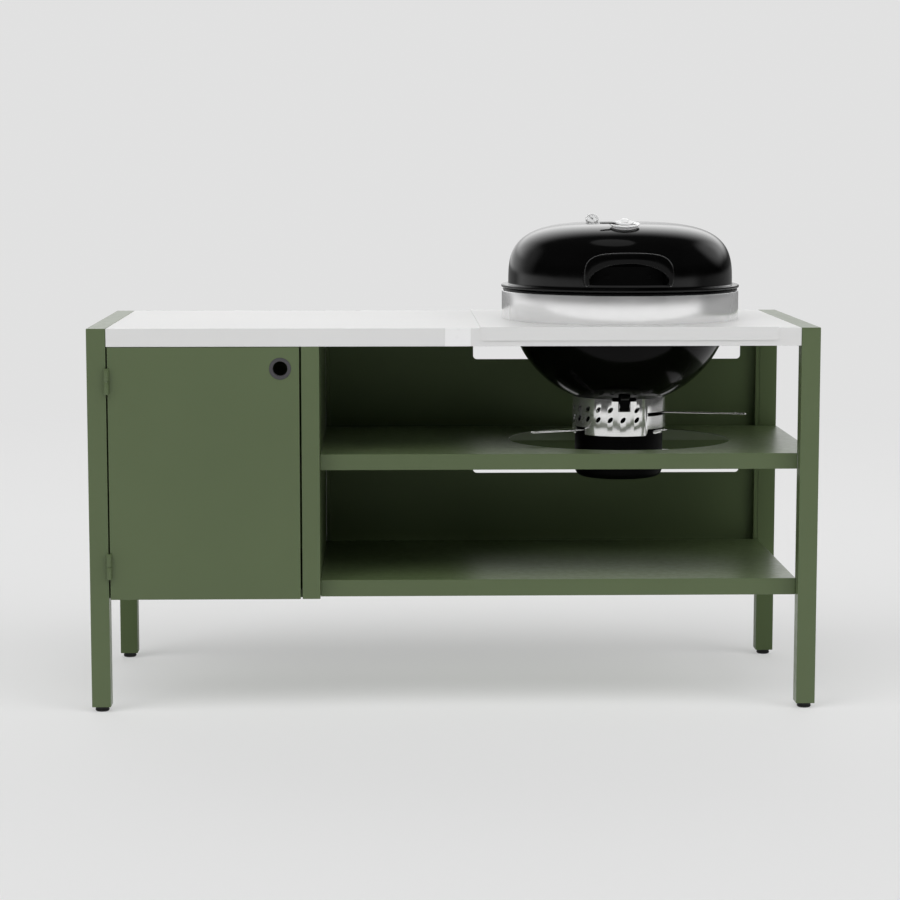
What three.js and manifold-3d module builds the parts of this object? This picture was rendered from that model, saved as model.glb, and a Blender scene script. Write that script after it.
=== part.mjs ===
// Outdoor kitchen bench with a kettle charcoal grill set into its worktop.
// Millimetres, +Z up, +Y towards the back. The origin is on the floor, below the middle of the object.
import * as THREE from "three";
import { mergeVertices } from "three/addons/utils/BufferGeometryUtils.js";
import Module from "manifold-3d";

const wasm = await Module();
wasm.setup();

// ---------------------------------------------------------------- driving dimensions
const BENCH_WIDTH = 1700;
const BENCH_DEPTH = 686;
const BENCH_HEIGHT = 900;
const TUBE = 44; // square tube of the end frames
const TUBE_WALL = 2;
const SHEET = 2; // folded sheet metal
const GAP = 0.3; // between pieces that meet
const FOOT_HEIGHT = 12;
const WORKTOP_THICKNESS = 42;
const BODY_BOTTOM = 267; // underside of the cabinet and of the lower shelf
const HINGE_PROUD = 12; // how far the hinge barrels stand in front of the frame

const FRONT = HINGE_PROUD - (BENCH_DEPTH + HINGE_PROUD) / 2;
const BACK = FRONT + BENCH_DEPTH;
const HALF = BENCH_WIDTH / 2;
const INNER = HALF - TUBE; // inner face of the legs
const TOP = BENCH_HEIGHT;
const WORKTOP_BOTTOM = TOP - WORKTOP_THICKNESS;

const POST_LEFT = -355.5; // partition between the cabinet and the open bay
const POST_RIGHT = -314;
const SHELF_FRONT = FRONT + 33;
const SHELF_BACK = BACK - TUBE - 0.5;
const SHELF_THICKNESS = 37;
const MIDDLE_SHELF_TOP = 603;
const LOWER_SHELF_TOP = 306;

const KETTLE_X = 413.5;
const KETTLE_Y = (FRONT + BACK) / 2;
const BOWL_RADIUS = 275;
const BOWL_BOTTOM = 690;
const BOWL_MOUTH = 970;
const BOWL_POWER = 2.1;
const SHELL = 2.5; // enamelled steel of the bowl and lid
const LID_RADIUS = 273;
const LID_BASE = 984;
const LID_RISE = 152;
const LID_TURN = -1.6 * (Math.PI / 180); // the lid sits turned a little on the bowl
const RING_RADIUS = 288.6;
const HOLE_RADIUS = 276;
const SHELF_HOLE_RADIUS = 271;
const SHELF_HOLE_FRONT = 240; // the hole is shallower in front of the kettle's axis
const SKIRT_RADIUS = 114;
const SKIRT_BOTTOM = 621;
const SKIRT_TOP = 711;
const PAN_RADIUS = 108;
const PAN_BOTTOM = 513;
const PAN_TOP = 650;
const LEVER_Z = 671.5;
const LEVER_ANGLE = -14.4;
const ROUND = 40; // segments of a large round piece

// ---------------------------------------------------------------- materials
const paint = (color, roughness, metalness = 0) =>
  new THREE.MeshStandardMaterial({ color, roughness, metalness });
const GREEN = paint(0x5a6549, 0.55);
const WHITE = paint(0xe4e4e2, 0.4);
const ENAMEL = paint(0x070707, 0.12);
const STEEL = paint(0xc4c4c2, 0.35, 1);
const ALUMINIUM = paint(0xd2d2d0, 0.45, 1);
const PLASTIC = paint(0x0b0b0b, 0.3);
const RUBBER = paint(0x111111, 0.7);
const ENAMEL_MATT = paint(0x0c0c0c, 0.6);
const GUNMETAL = paint(0x48484a, 0.5);
const GLASS = paint(0xf2f5f5, 0.05);

// ---------------------------------------------------------------- solids
function solid(geometry) {
  const bare = geometry.index ? geometry.toNonIndexed() : geometry.clone();
  for (const name of Object.keys(bare.attributes)) if (name !== "position") bare.deleteAttribute(name);
  const merged = mergeVertices(bare, 1e-4);
  const triVerts = new Uint32Array(merged.index.array);
  const vertProperties = new Float32Array(merged.attributes.position.array);
  const made = new wasm.Manifold(new wasm.Mesh({ numProp: 3, vertProperties, triVerts }));
  if (made.volume() > 0) return made;
  for (let i = 0; i < triVerts.length; i += 3) {
    [triVerts[i + 1], triVerts[i + 2]] = [triVerts[i + 2], triVerts[i + 1]];
  }
  return new wasm.Manifold(new wasm.Mesh({ numProp: 3, vertProperties, triVerts }));
}

function mesh(name, made, material) {
  const out = made.getMesh();
  const geometry = new THREE.BufferGeometry();
  geometry.setAttribute("position", new THREE.BufferAttribute(new Float32Array(out.vertProperties), 3));
  geometry.setIndex(new THREE.BufferAttribute(new Uint32Array(out.triVerts), 1));
  geometry.computeVertexNormals();
  const node = new THREE.Mesh(geometry, material);
  node.name = name;
  return node;
}

const box = (x0, x1, y0, y1, z0, z1) =>
  solid(new THREE.BoxGeometry(x1 - x0, y1 - y0, z1 - z0).translate((x0 + x1) / 2, (y0 + y1) / 2, (z0 + z1) / 2));

// A profile of [radius, height] points turned about Z.
const turned = (points, segments = ROUND) =>
  solid(new THREE.LatheGeometry(points.map(([r, z]) => new THREE.Vector2(r, z)), segments).rotateX(Math.PI / 2));

const disc = (radius, z0, z1, segments = ROUND) => turned([[0, z0], [radius, z0], [radius, z1], [0, z1]], segments);

const tube = (outer, inner, z0, z1, segments = ROUND) =>
  turned([[inner, z0], [outer, z0], [outer, z1], [inner, z1], [inner, z0]], segments);

// A flat outline in X and Y, raised from z0 to z1.
function plate(shape, z0, z1, curveSegments = 8) {
  const depth = z1 - z0;
  return solid(new THREE.ExtrudeGeometry(shape, { depth, bevelEnabled: false, curveSegments }).translate(0, 0, z0));
}

// A flat outline whose Y becomes Z, extruded along Y from y0 to y1.
function wall(shape, y0, y1, curveSegments = 6) {
  const depth = y1 - y0;
  const made = new THREE.ExtrudeGeometry(shape, { depth, bevelEnabled: false, curveSegments });
  return solid(made.rotateX(Math.PI / 2).translate(0, y1, 0));
}

function rod(from, to, radius, sides = 8) {
  const a = new THREE.Vector3(...from);
  const b = new THREE.Vector3(...to);
  const along = b.clone().sub(a);
  const turn = new THREE.Quaternion().setFromUnitVectors(new THREE.Vector3(0, 1, 0), along.clone().normalize());
  const middle = a.add(b).multiplyScalar(0.5);
  const made = new THREE.CylinderGeometry(radius, radius, along.length(), sides);
  return solid(made.applyQuaternion(turn).translate(middle.x, middle.y, middle.z));
}

function roundedRectangle(x0, x1, y0, y1, radius) {
  const shape = new THREE.Shape();
  shape.moveTo(x0 + radius, y0);
  shape.lineTo(x1 - radius, y0);
  shape.absarc(x1 - radius, y0 + radius, radius, -Math.PI / 2, 0);
  shape.lineTo(x1, y1 - radius);
  shape.absarc(x1 - radius, y1 - radius, radius, 0, Math.PI / 2);
  shape.lineTo(x0 + radius, y1);
  shape.absarc(x0 + radius, y1 - radius, radius, Math.PI / 2, Math.PI);
  shape.lineTo(x0, y0 + radius);
  shape.absarc(x0 + radius, y0 + radius, radius, Math.PI, Math.PI * 1.5);
  return shape;
}

const polygon = (points) => new THREE.Shape(points.map(([x, y]) => new THREE.Vector2(x, y)));
const radians = (degrees) => (degrees * Math.PI) / 180;
const turnZ = (made, degrees) => made.rotate([0, 0, degrees]);
const join = (first, ...rest) => rest.reduce((all, next) => all.add(next), first);
const cut = (first, ...rest) => rest.reduce((all, next) => all.subtract(next), first);

// ---------------------------------------------------------------- end frames: mitred square tube
const MITRE = 2000; // size of the block that cuts a mitre

// Everything above the plane that falls at 45 degrees from the top edge at y = edge, in the direction given.
function aboveMitre(edge, direction, offset) {
  const outline = polygon([
    [edge - direction * MITRE, TOP + MITRE + offset],
    [edge + direction * MITRE, TOP - MITRE + offset],
    [edge + direction * MITRE, TOP + 2 * MITRE],
    [edge - direction * MITRE, TOP + 2 * MITRE],
  ]);
  const made = new THREE.ExtrudeGeometry(outline, { depth: MITRE, bevelEnabled: false });
  return solid(made.rotateX(Math.PI / 2).rotateZ(Math.PI / 2).translate(-MITRE / 2, 0, 0));
}

function leg(name, x0, front) {
  const y0 = front ? FRONT : BACK - TUBE;
  const made = cut(
    box(x0, x0 + TUBE, y0, y0 + TUBE, FOOT_HEIGHT, TOP),
    box(x0 + TUBE_WALL, x0 + TUBE - TUBE_WALL, y0 + TUBE_WALL, y0 + TUBE - TUBE_WALL, 0, TOP + 1),
    aboveMitre(front ? FRONT : BACK, front ? 1 : -1, -GAP),
  );
  return mesh(name, made, GREEN);
}

function topRail(name, x0) {
  const full = cut(
    box(x0, x0 + TUBE, FRONT, BACK, TOP - TUBE, TOP),
    box(x0 + TUBE_WALL, x0 + TUBE - TUBE_WALL, FRONT - 1, BACK + 1, TOP - TUBE + TUBE_WALL, TOP - TUBE_WALL),
  );
  const made = full.intersect(aboveMitre(FRONT, 1, 0)).intersect(aboveMitre(BACK, -1, 0));
  return mesh(name, made, GREEN);
}

// A glide foot: a round pad under a square plug that is pushed into the leg.
function foot(name, x0, front) {
  const reach = TUBE / 2 - TUBE_WALL - GAP;
  const y0 = front ? FRONT : BACK - TUBE;
  const pad = turned([[0, 0], [14.5, 0], [16.5, 2], [16.5, FOOT_HEIGHT + 1], [0, FOOT_HEIGHT + 1]], 24);
  const made = join(pad, box(-reach, reach, -reach, reach, FOOT_HEIGHT, FOOT_HEIGHT + 20));
  return mesh(name, made.translate([x0 + TUBE / 2, y0 + TUBE / 2, 0]), RUBBER);
}

function endFrames() {
  const group = new THREE.Group();
  for (const [side, x0] of [["left", -HALF], ["right", INNER]]) {
    group.add(topRail(`${side}_top_rail`, x0));
    for (const [end, front] of [["front", true], ["back", false]]) {
      group.add(leg(`${end}_${side}_leg`, x0, front));
      group.add(foot(`${end}_${side}_foot`, x0, front));
    }
  }
  return group;
}

// ---------------------------------------------------------------- folded sheet pieces
// A shallow tray: a skin on one side and returned edges all round. open is the side without a skin.
function tray(x0, x1, y0, y1, z0, z1, open) {
  const low = [x0 + SHEET, y0 + SHEET, z0 + SHEET];
  const high = [x1 - SHEET, y1 - SHEET, z1 - SHEET];
  const axis = { x: 0, y: 1, z: 2 }[open[1]];
  if (open[0] === "+") high[axis] += 2 * SHEET;
  else low[axis] -= 2 * SHEET;
  return cut(box(x0, x1, y0, y1, z0, z1), box(low[0], high[0], low[1], high[1], low[2], high[2]));
}

const HOLE_SEGMENTS = 80; // the holes in the flat sheets are large and in plain view
const kettleHole = (radius, z0, z1) => disc(radius, z0, z1, HOLE_SEGMENTS).translate([KETTLE_X, KETTLE_Y, 0]);

const SADDLE_LEFT = 60; // the saddle plate carries the kettle and hooks over the worktop's front edge
const SADDLE_RIGHT = 752;
const SADDLE_FLANGE_BOTTOM = 871;
const PLATE_LEFT = -23; // blank plate on the worktop's front edge
const PLATE_RIGHT = 37;

function worktopPieces() {
  const group = new THREE.Group();
  const top = tray(-INNER + 1, INNER - 1, FRONT, BACK, WORKTOP_BOTTOM, TOP, "-z");
  group.add(mesh("worktop", cut(top, kettleHole(HOLE_RADIUS, 0, 2 * TOP)), WHITE));

  const flange = new THREE.Shape();
  const corner = 8;
  flange.moveTo(SADDLE_LEFT, TOP + SHEET);
  flange.lineTo(SADDLE_LEFT, SADDLE_FLANGE_BOTTOM + corner);
  flange.absarc(SADDLE_LEFT + corner, SADDLE_FLANGE_BOTTOM + corner, corner, Math.PI, Math.PI * 1.5);
  flange.lineTo(SADDLE_RIGHT - corner, SADDLE_FLANGE_BOTTOM);
  flange.absarc(SADDLE_RIGHT - corner, SADDLE_FLANGE_BOTTOM + corner, corner, -Math.PI / 2, 0);
  flange.lineTo(SADDLE_RIGHT, TOP + SHEET);
  const saddle = join(
    box(SADDLE_LEFT, SADDLE_RIGHT, FRONT - SHEET, BACK, TOP, TOP + SHEET),
    wall(flange, FRONT - SHEET, FRONT),
  );
  group.add(mesh("saddle_plate", cut(saddle, kettleHole(HOLE_RADIUS, 0, 2 * TOP)), WHITE));
  group.add(mesh("blank_plate", box(PLATE_LEFT, PLATE_RIGHT, FRONT - 1.2, FRONT, WORKTOP_BOTTOM, TOP), WHITE));

  // The collar stands on the saddle plate. Its top edge is turned in, and the bowl's rim rests on it.
  const base = TOP + SHEET;
  const collar = turned([
    [RING_RADIUS - 2.5, base],
    [RING_RADIUS, base],
    [RING_RADIUS, BOWL_MOUTH - 1.2],
    [RING_RADIUS - 1.2, BOWL_MOUTH],
    [BOWL_RADIUS + 3.5, BOWL_MOUTH],
    [BOWL_RADIUS + 3.5, BOWL_MOUTH - 2.5],
    [RING_RADIUS - 2.5, BOWL_MOUTH - 2.5],
    [RING_RADIUS - 2.5, base],
  ]);
  group.add(mesh("kettle_collar", collar.translate([KETTLE_X, KETTLE_Y, 0]), ALUMINIUM));
  return group;
}

// ---------------------------------------------------------------- cabinet, back panels and shelves
const PANEL_BACK = BACK - 24; // back face of the back panels
const PANEL_FRONT = BACK - TUBE; // front face of their side returns
const PANEL_RETURN = 10;
const SLOT_LEFT = 66; // vent slots behind the kettle
const SLOT_RIGHT = 757;
const SLOT_HEIGHT = 60;
const SLOT_BOTTOMS = [775, 479.5];

function backPanel(x0, x1) {
  const z1 = WORKTOP_BOTTOM - GAP;
  return join(
    box(x0, x1, PANEL_BACK - SHEET, PANEL_BACK, BODY_BOTTOM, z1),
    box(x0, x0 + PANEL_RETURN, PANEL_FRONT, PANEL_BACK, BODY_BOTTOM, z1),
    box(x1 - PANEL_RETURN, x1, PANEL_FRONT, PANEL_BACK, BODY_BOTTOM, z1),
  );
}

// Round behind the kettle's axis, and flattened in front of it.
function shelfHole() {
  const points = [];
  for (let i = 0; i < HOLE_SEGMENTS; i++) {
    const angle = (i / HOLE_SEGMENTS) * 2 * Math.PI;
    const y = Math.sin(angle) * (i > HOLE_SEGMENTS / 2 ? SHELF_HOLE_FRONT : SHELF_HOLE_RADIUS);
    points.push([SHELF_HOLE_RADIUS * Math.cos(angle), y]);
  }
  return plate(polygon(points), 0, TOP).translate([KETTLE_X, KETTLE_Y, 0]);
}

function cabinetPieces() {
  const group = new THREE.Group();
  const z1 = WORKTOP_BOTTOM - GAP;
  const add = (name, made) => group.add(mesh(name, made, GREEN));
  add("cabinet_side_panel", tray(-HALF + 2, -HALF + 22, FRONT + TUBE + 0.5, BACK - TUBE - 0.5, BODY_BOTTOM, z1 - 2, "+x"));
  add("cabinet_floor", tray(-INNER + 0.5, POST_LEFT - 0.5, FRONT + 24, PANEL_FRONT - 0.5, BODY_BOTTOM, BODY_BOTTOM + 20, "-z"));
  const post = cut(
    box(POST_LEFT, POST_RIGHT, FRONT, BACK, BODY_BOTTOM, z1),
    box(POST_LEFT + SHEET, POST_RIGHT - SHEET, FRONT + SHEET, BACK - SHEET, 0, TOP),
  );
  add("partition_panel", post);
  add("cabinet_back_panel", backPanel(-INNER + 0.5, POST_LEFT - 0.5));
  const slots = SLOT_BOTTOMS.map((z) =>
    wall(roundedRectangle(SLOT_LEFT, SLOT_RIGHT, z, z + SLOT_HEIGHT, 10), PANEL_BACK - 20, PANEL_BACK + 20),
  );
  add("bay_back_panel", cut(backPanel(POST_RIGHT + 0.5, INNER - 0.5), ...slots));

  const shelfLeft = POST_RIGHT + 0.5;
  const middle = cut(
    tray(shelfLeft, HALF, SHELF_FRONT, SHELF_BACK, MIDDLE_SHELF_TOP - SHELF_THICKNESS, MIDDLE_SHELF_TOP, "-z"),
    box(INNER - 0.5, HALF + 10, FRONT - 10, FRONT + TUBE + 0.5, 0, TOP),
    shelfHole(),
  );
  add("middle_shelf", middle);
  add("lower_shelf", tray(shelfLeft, INNER - 0.5, SHELF_FRONT, SHELF_BACK, BODY_BOTTOM, LOWER_SHELF_TOP, "-z"));
  return group;
}

// ---------------------------------------------------------------- door with lift-off barrel hinges
const DOOR_LEFT = -802.5;
const DOOR_RIGHT = POST_LEFT - 4.5;
const DOOR_TOP = 856.8;
const DOOR_DEPTH = 20;
const PULL_X = -404;
const PULL_Z = 807;
const HINGE_X = (DOOR_LEFT - INNER) / 2;
const HINGE_Y = FRONT - HINGE_PROUD / 2;
const HINGE_LENGTH = 60;
const HINGE_BOTTOMS = [["lower", 315.5], ["upper", 748]];

function doorPieces() {
  const group = new THREE.Group();
  const pull = (radius, y0, y1) =>
    disc(radius, y0, y1, 32).rotate([-90, 0, 0]).translate([PULL_X, 0, PULL_Z]);
  const panel = tray(DOOR_LEFT, DOOR_RIGHT, FRONT, FRONT + DOOR_DEPTH, BODY_BOTTOM, DOOR_TOP, "+y");
  group.add(mesh("cabinet_door", cut(panel, pull(22, FRONT - 5, FRONT + 5)), GREEN));
  const ring = turned([[17, -1.6], [24, -1.6], [25.4, -0.6], [25.4, 0], [21.7, 0], [21.7, 24], [17, 24], [17, -1.6]], 32);
  group.add(mesh("finger_pull", ring.rotate([-90, 0, 0]).translate([PULL_X, FRONT, PULL_Z]), GUNMETAL));

  const radius = HINGE_PROUD / 2;
  const middle = HINGE_LENGTH / 2;
  for (const [name, z] of HINGE_BOTTOMS) {
    const at = (made) => made.translate([HINGE_X, HINGE_Y, z]);
    const leafFrame = box(-radius, -0.8, 2, radius, 0, middle - 0.3);
    const frameHalf = cut(join(disc(radius, 0, middle - 0.3, 24), leafFrame), disc(3.3, 4, middle, 16));
    group.add(mesh(`${name}_hinge_frame_half`, at(frameHalf), GREEN));
    const leafDoor = box(1.9, radius, 2, radius, middle + 0.3, HINGE_LENGTH);
    const doorHalf = cut(
      join(disc(radius, middle + 0.3, HINGE_LENGTH, 24), leafDoor),
      disc(3.3, middle, HINGE_LENGTH - 4, 16),
    );
    group.add(mesh(`${name}_hinge_door_half`, at(doorHalf), GREEN));
    group.add(mesh(`${name}_hinge_pin`, at(disc(3, 4.3, HINGE_LENGTH - 5, 16)), STEEL));
  }
  group.add(mesh("door_magnet", box(POST_LEFT - 22.2, POST_LEFT - GAP, FRONT + 23, FRONT + 47, 560, 600), RUBBER));
  return group;
}

// ---------------------------------------------------------------- kettle bowl and what it holds
// Height of the bowl's outer face at a radius, and radius at a height.
const bowlZ = (r, a = BOWL_RADIUS, b = BOWL_MOUTH - BOWL_BOTTOM) =>
  BOWL_MOUTH - b * (1 - (r / a) ** BOWL_POWER) ** (1 / BOWL_POWER);
const BOWL_ANGLES = 8;

function bowlCurve(a, b) {
  const points = [];
  for (let i = 0; i <= BOWL_ANGLES; i++) {
    const angle = (i / BOWL_ANGLES) * (Math.PI / 2);
    points.push([
      a * Math.sin(angle) ** (2 / BOWL_POWER),
      BOWL_MOUTH - b * Math.cos(angle) ** (2 / BOWL_POWER),
    ]);
  }
  points[0][0] = 0;
  return points;
}

function bowl() {
  const depth = BOWL_MOUTH - BOWL_BOTTOM;
  const outer = bowlCurve(BOWL_RADIUS, depth);
  const inner = bowlCurve(BOWL_RADIUS - SHELL, depth - SHELL).reverse();
  const rim = [
    [BOWL_RADIUS, BOWL_MOUTH + GAP],
    [BOWL_RADIUS + 11, BOWL_MOUTH + GAP],
    [BOWL_RADIUS + 11, BOWL_MOUTH + 6.5],
    [BOWL_RADIUS - SHELL, BOWL_MOUTH + 6.5],
  ];
  const vent = plate(roundedRectangle(34, 78, -9, 9, 8.5), 600, 760, 3);
  const vents = [30, 150, 270].map((angle) => turnZ(vent, angle));
  return cut(turned([...outer, ...rim, ...inner]), disc(9, 600, 760, 24), ...vents);
}

// A wire grate: parallel bars across a round frame, with one brace below them.
function grate(radius, z, bars, wire) {
  const ring = tube(radius + wire, radius - wire, z - wire, z + wire, 32);
  const parts = [ring];
  const thin = wire * 0.7;
  for (let i = 0; i < bars; i++) {
    const x = radius * (((i + 0.5) / bars) * 2 - 1);
    const reach = Math.sqrt(radius * radius - x * x) * 0.996;
    parts.push(rod([x, -reach, z], [x, reach, z], thin, 4));
  }
  const brace = radius * 0.985;
  parts.push(rod([-brace, 0, z - wire], [brace, 0, z - wire], wire * 0.9, 4));
  return join(...parts);
}

// A small ledge on the bowl's inner face.
function grateTab(z, angle) {
  const reach = (BOWL_MOUTH - z) / (BOWL_MOUTH - BOWL_BOTTOM - SHELL);
  const wallRadius = (BOWL_RADIUS - SHELL) * (1 - reach ** BOWL_POWER) ** (1 / BOWL_POWER);
  const end = wallRadius * Math.cos(Math.PI / ROUND) - 1.5;
  return turnZ(box(end - 14, end, -9, 9, z, z + 2), angle);
}

// Height of the bowl's inner face at a radius.
const bowlInside = (r) => bowlZ(r, BOWL_RADIUS - SHELL, BOWL_MOUTH - BOWL_BOTTOM - SHELL);

function sweepBlades() {
  const low = [];
  const high = [];
  for (const r of [6, 40, 75, 110, 145]) {
    low.push([r, bowlInside(r) + 2.5]);
    high.unshift([r, bowlInside(r) + 15]);
  }
  const blade = wall(polygon([...low, ...high]), -1.5, 1.5);
  const hub = disc(15, BOWL_BOTTOM + 5, BOWL_BOTTOM + 17, 24);
  const blades = [70, 190, 310].map((angle) => turnZ(blade, angle));
  return cut(join(hub, ...blades), disc(4.8, 600, 800, 16));
}

function sweepLever() {
  const wire = 2.4;
  const length = 298;
  const collar = cut(disc(10, LEVER_Z - 7, LEVER_Z + 7, 24), disc(4.8, 600, 800, 16));
  const grip = turned([[3.6, -2], [8.5, -2], [8.5, 2], [3.6, 2], [3.6, -2]], 20).translate([length + 7, 0, LEVER_Z]);
  const made = join(collar, rod([8, 0, LEVER_Z], [length, 0, LEVER_Z], wire, 10), grip);
  return turnZ(made, LEVER_ANGLE);
}

// ---------------------------------------------------------------- ash catcher
const HOLE_PITCH = 15.5; // degrees between the skirt's vent holes
const HOLE_ROWS = [684.3, 660.2];
const SEAM_PITCH = 17.3; // wider pitch across the skirt's seam

// A wedge-shaped block that reaches through the skirt between two angles.
function sector(from, to, z0, z1) {
  const reach = SKIRT_RADIUS * 1.4;
  const points = [[0, 0]];
  const steps = Math.max(2, Math.ceil((to - from) / 12));
  for (let i = 0; i <= steps; i++) {
    const angle = radians(from + ((to - from) * i) / steps);
    points.push([reach * Math.cos(angle), reach * Math.sin(angle)]);
  }
  return plate(polygon(points), z0, z1);
}

function ashSkirt() {
  const sheet = 1.5;
  const oval = polygon([[0, -8.2], [4.2, -5], [4.9, 0], [4.2, 5], [0, 8.2], [-4.2, 5], [-4.9, 0], [-4.2, -5]]);
  const slanted = wall(oval, -SKIRT_RADIUS - 8, -SKIRT_RADIUS + 8).rotate([0, 40, 0]);
  const cuts = [];
  for (let i = -12; i <= 1; i++) {
    for (const z of HOLE_ROWS) {
      const underClip = (i === 0 || i === -8) && z === HOLE_ROWS[0];
      if (!underClip) cuts.push(turnZ(slanted.translate([0, 0, z]), i * (i > 0 ? SEAM_PITCH : HOLE_PITCH)));
    }
  }
  cuts.push(sector(LEVER_ANGLE - 42.8, LEVER_ANGLE + 30, LEVER_Z - 4, LEVER_Z + 5)); // slot for the sweep lever
  cuts.push(sector(-59.2, 4, SKIRT_BOTTOM - 10, SKIRT_BOTTOM + 7.5)); // notch for the pan's latch
  cuts.push(sector(-56.3, 4, SKIRT_BOTTOM, SKIRT_BOTTOM + 15.5));
  cuts.push(sector(199, 218.7, SKIRT_BOTTOM - 10, SKIRT_BOTTOM + 18)); // notch for the pan's handle
  for (const angle of CLIP_ANGLES) {
    cuts.push(sector(angle - 15, angle + 15, SKIRT_TOP - 5.5, SKIRT_TOP + 10));
    cuts.push(sector(angle - 7.5, angle + 7.5, 681, SKIRT_TOP + 10));
  }
  return cut(tube(SKIRT_RADIUS, SKIRT_RADIUS - sheet, SKIRT_BOTTOM, SKIRT_TOP), ...cuts);
}

// A bent strap that follows the bowl's underside and hangs down outside the skirt.
const CLIP_ANGLES = [-88.5, 31.5, 151.5];
function skirtClip() {
  const out = [SKIRT_RADIUS + 4, SKIRT_RADIUS + 14, SKIRT_RADIUS + 26];
  const upper = out.map((r) => [r, bowlZ(r) - 0.8]);
  const lower = out.map((r) => [r + 1, bowlZ(r) - 3.6]).reverse();
  const leg = [[SKIRT_RADIUS + 4, 683], [SKIRT_RADIUS + 1.5, 683], [SKIRT_RADIUS + 1.5, bowlZ(SKIRT_RADIUS + 1.5) - 1]];
  return wall(polygon([...upper, ...lower, ...leg]), -11.5, 11.5);
}

function ashPan() {
  const corner = 24;
  const arc = (radius) =>
    Array.from({ length: 4 }, (_, i) => {
      const angle = radians(-90 + i * 30);
      return [PAN_RADIUS - corner + radius * Math.cos(angle), PAN_BOTTOM + corner + radius * Math.sin(angle)];
    });
  return turned([
    [0, PAN_BOTTOM],
    ...arc(corner),
    [PAN_RADIUS, PAN_TOP],
    [PAN_RADIUS - 2, PAN_TOP],
    ...arc(corner - 2).reverse(),
    [0, PAN_BOTTOM + 2],
  ]);
}

// A flat strap handle that leaves the pan through the skirt's left notch.
function panHandle() {
  const grip = plate(
    polygon([[0, -4], [32, -4], [38, -13], [150, -13], [156, 11], [38, 13], [32, 4], [0, 4]]),
    631,
    634,
  );
  const placed = turnZ(grip, 203.6).translate([-84.5, -57.4, 0]);
  return cut(placed, disc(PAN_RADIUS + GAP, 500, 700));
}

function panLatch() {
  const tab = plate(polygon([[PAN_RADIUS - 3, -13], [PAN_RADIUS + 19, -13], [PAN_RADIUS + 22, 9], [PAN_RADIUS - 3, 9]]), 631.3, 633.5);
  const lip = box(PAN_RADIUS - 3, PAN_RADIUS + 3.5, -26, 14, 623, 632.4);
  return cut(turnZ(join(tab, lip), -32), disc(PAN_RADIUS + GAP, 500, 700));
}

function kettlePieces() {
  const group = new THREE.Group();
  group.position.set(KETTLE_X, KETTLE_Y, 0);
  const add = (name, made, material) => group.add(mesh(name, made, material));
  add("kettle_bowl", bowl(), ENAMEL);
  add("cooking_grate", grate(264, 952, 17, 3.2), STEEL);
  add("charcoal_grate", grate(192, 776, 9, 3.6), STEEL);
  for (const [i, angle] of [15, 135, 255].entries()) {
    add(`cooking_grate_tab_${i + 1}`, grateTab(944.4, angle), STEEL);
    add(`charcoal_grate_tab_${i + 1}`, grateTab(767.4, angle), STEEL);
  }
  const bush = join(tube(8.6, 4.9, BOWL_BOTTOM - 1, BOWL_BOTTOM + 3.5, 24), tube(13, 4.9, BOWL_BOTTOM - 3.5, BOWL_BOTTOM - GAP, 24));
  add("sweep_bush", bush, STEEL);
  add("sweep_shaft", join(disc(4.5, LEVER_Z - 14, BOWL_BOTTOM + 22, 16), disc(8, LEVER_Z - 14, LEVER_Z - 7.5, 6)), STEEL);
  add("sweep_blades", sweepBlades(), STEEL);
  add("sweep_lever", sweepLever(), STEEL);
  add("ash_skirt", ashSkirt(), STEEL);
  for (const [i, angle] of CLIP_ANGLES.entries()) {
    add(`skirt_clip_${i + 1}`, turnZ(skirtClip(), angle), ENAMEL_MATT);
  }
  add("ash_pan", ashPan(), ENAMEL_MATT);
  add("ash_pan_handle", panHandle(), STEEL);
  add("ash_pan_latch", panLatch(), STEEL);
  return group;
}

// ---------------------------------------------------------------- lid
const LID_POWER_R = 3.5;
const LID_POWER_Z = 3.3;
const lidZ = (r, a = LID_RADIUS, b = LID_RISE) =>
  LID_BASE + b * (1 - (r / a) ** LID_POWER_R) ** (1 / LID_POWER_Z);

function lidCurve(a, b) {
  const points = [];
  for (const share of [0, 0.3, 0.55, 0.74, 0.88, 0.96]) {
    const r = a * (1 - share ** LID_POWER_Z) ** (1 / LID_POWER_R);
    points.push([r, LID_BASE + b * share]);
  }
  points.push([a * 0.33, LID_BASE + b * (1 - 0.33 ** LID_POWER_R) ** (1 / LID_POWER_Z)]);
  points.push([0, LID_BASE + b]);
  return points;
}

// The lid's outer shape as a full body, grown by a margin, to trim what sits on it.
const lidBody = (margin) =>
  turned([[0, LID_BASE - 60], [LID_RADIUS + margin, LID_BASE - 60], ...lidCurve(LID_RADIUS + margin, LID_RISE + margin)]);

const VENT_RADIUS = 160; // where the damper sits, from the lid's axis
const VENT_SLOPE = Math.atan((lidZ(VENT_RADIUS - 20) - lidZ(VENT_RADIUS + 20)) / 40);
const DISC_RADIUS = 36;
// From the damper's own frame, its axis along Z and the lid's surface at 0, to the lid's frame.
function placeVent(made) {
  return made.rotate([(VENT_SLOPE * 180) / Math.PI, 0, 0]).translate([0, -VENT_RADIUS, lidZ(VENT_RADIUS)]);
}
const ventHoles = (z0, z1, radius = 7) =>
  [90, 210, 330].map((angle) => turnZ(disc(radius, z0, z1, 16).translate([24, 0, 0]), angle));

const DIAL_CENTRE = [-69, -6, 1146]; // thermometer
const DIAL_TILT = 36.87; // degrees from facing straight up towards facing the front
const DIAL_RADIUS = 16;
const placeDial = (made) => made.rotate([DIAL_TILT, 0, 0]).translate(DIAL_CENTRE);

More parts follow.
